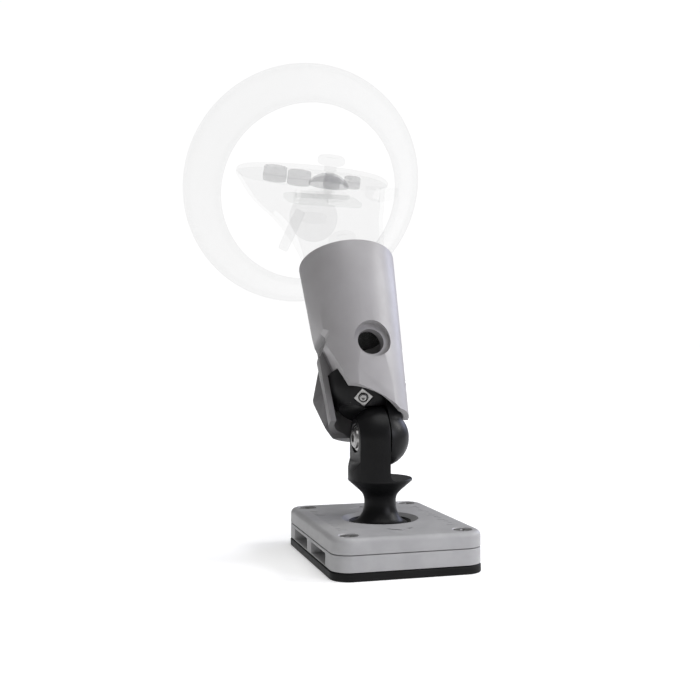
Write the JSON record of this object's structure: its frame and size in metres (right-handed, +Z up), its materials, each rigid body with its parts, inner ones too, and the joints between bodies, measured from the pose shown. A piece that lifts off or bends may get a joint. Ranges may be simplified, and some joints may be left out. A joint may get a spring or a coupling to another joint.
{
  "type": "motion controller with joystick dock",
  "caption": "Tracked hand controller with a ring, docked in a cup on a tilting knuckle and spring-centred joystick base.",
  "frame": {"origin": "middle of the base's underside, on the tabletop", "axes": "+Z up, +Y away from the user, +X to the user's right"},
  "size_m": [0.1278, 0.1446, 0.2417],
  "materials": {
    "grey_print": "satin printed",
    "black_print": "satin",
    "black_painted_steel": "satin powder coat",
    "steel": "bright zinc",
    "brass": "knurled",
    "rubber": "matte",
    "clear_white": "frosted clear",
    "clear_grey": "frosted clear",
    "board": "lacquered",
    "battery_wrap": "shrink film"
  },
  "bodies": {
    "base": {"base_plate": "black_painted_steel", "lower_housing": "grey_print", "top_cover": "grey_print", "cover_screw_1": "steel", "cover_screw_2": "steel", "cover_screw_3": "steel", "cover_screw_4": "steel", "threaded_insert_1": "brass", "threaded_insert_2": "brass", "threaded_insert_3": "brass", "threaded_insert_4": "brass", "centring_spring_1": "steel", "centring_spring_2": "steel", "centring_spring_3": "steel", "centring_spring_4": "steel"},
    "slider": {"slotted_slider": "black_print"},
    "stick": {"stick_post": "black_print", "spring_hub": "steel", "hub_screw": "steel", "knuckle_bolt": "steel", "friction_washer": "steel"},
    "cup": {"knuckle_arm": "black_print", "knuckle_nut": "steel", "clamp_nut": "steel", "clamp_screw": "steel", "cup_sleeve": "grey_print", "cup_screw_1": "steel", "cup_screw_2": "steel", "cup_liner": "rubber"},
    "controller": {"handle_shell": "clear_white", "face_plate": "clear_white", "ring_inner_cover": "clear_white", "ring_outer_cover": "clear_white", "ring_led_strip": "board", "ring_bridge": "clear_white", "thumbstick_module": "steel", "trigger_pin": "steel", "main_board": "board", "battery_cell": "battery_wrap", "battery_contact": "steel", "haptic_motor": "steel"},
    "thumb_yoke": {"thumbstick_yoke": "black_print"},
    "thumb_dome": {"thumbstick_dome": "clear_grey"},
    "thumb_cap": {"thumbstick_cap": "clear_grey"},
    "button_a": {"button_a": "clear_grey"},
    "button_b": {"button_b": "clear_grey"},
    "button_menu": {"button_menu": "clear_grey"},
    "button_system": {"button_system": "clear_grey"},
    "trigger": {"trigger": "clear_grey"},
    "grip_button": {"grip_button": "clear_grey"}
  },
  "joints": [
    {"name": "stick_pitch", "type": "hinge", "parent": "base", "child": "slider", "pos_m": [0, 0, 0.033], "axis": [1, 0, 0], "range_deg": [-9, 9], "stiffness_Nm_per_rad": 6, "springref_deg": 1.6, "deforming": ["centring_spring_1", "centring_spring_2", "centring_spring_3", "centring_spring_4"]},
    {"name": "stick_roll", "type": "hinge", "parent": "slider", "child": "stick", "pos_m": [0, 0, 0.033], "axis": [0, 1, 0], "range_deg": [-9, 9], "stiffness_Nm_per_rad": 6, "springref_deg": 0.33},
    {"name": "knuckle_tilt", "type": "hinge", "parent": "stick", "child": "cup", "pos_m": [0, 0, 0.0555], "axis": [1, 0, 0], "range_deg": [-20, 50]},
    {"name": "controller_dock", "type": "slide", "parent": "cup", "child": "controller", "axis": [0, 0.4571, 0.8894], "range_m": [0, 0.06]},
    {"name": "thumbstick_x", "type": "hinge", "parent": "controller", "child": "thumb_yoke", "pos_m": [-0.00796, 0.0653, 0.17889], "axis": [0.9997, 0.0084, -0.023], "range_deg": [-10, 10], "stiffness_Nm_per_rad": 0.02},
    {"name": "thumbstick_y", "type": "hinge", "parent": "thumb_yoke", "child": "thumb_dome", "pos_m": [-0.00796, 0.0653, 0.17889], "axis": [0, 0.9397, 0.342], "range_deg": [-10, 10], "stiffness_Nm_per_rad": 0.02},
    {"name": "thumbstick_click", "type": "slide", "parent": "thumb_dome", "child": "thumb_cap", "axis": [-0.0244, 0.3419, -0.9394], "range_m": [0, 0.0006], "stiffness_N_per_m": 900},
    {"name": "button_a_press", "type": "slide", "parent": "controller", "child": "button_a", "axis": [-0.0244, 0.3419, -0.9394], "range_m": [0, 0.0012], "stiffness_N_per_m": 600},
    {"name": "button_b_press", "type": "slide", "parent": "controller", "child": "button_b", "axis": [-0.0244, 0.3419, -0.9394], "range_m": [0, 0.0012], "stiffness_N_per_m": 600},
    {"name": "button_menu_press", "type": "slide", "parent": "controller", "child": "button_menu", "axis": [-0.0244, 0.3419, -0.9394], "range_m": [0, 0.0012], "stiffness_N_per_m": 600},
    {"name": "button_system_press", "type": "slide", "parent": "controller", "child": "button_system", "axis": [-0.0244, 0.3419, -0.9394], "range_m": [0, 0.0012], "stiffness_N_per_m": 600},
    {"name": "trigger_pull", "type": "hinge", "parent": "controller", "child": "trigger", "pos_m": [-0.0085, 0.0928, 0.1806], "axis": [1, 0, 0], "range_deg": [-14, 0], "stiffness_Nm_per_rad": 0.08, "springref_deg": 2.86},
    {"name": "grip_squeeze", "type": "hinge", "parent": "controller", "child": "grip_button", "pos_m": [-0.0306, 0.0515, 0.1447], "axis": [0, 1, 0], "range_deg": [0, 3], "stiffness_Nm_per_rad": 0.3, "springref_deg": -1.72}
  ]
}
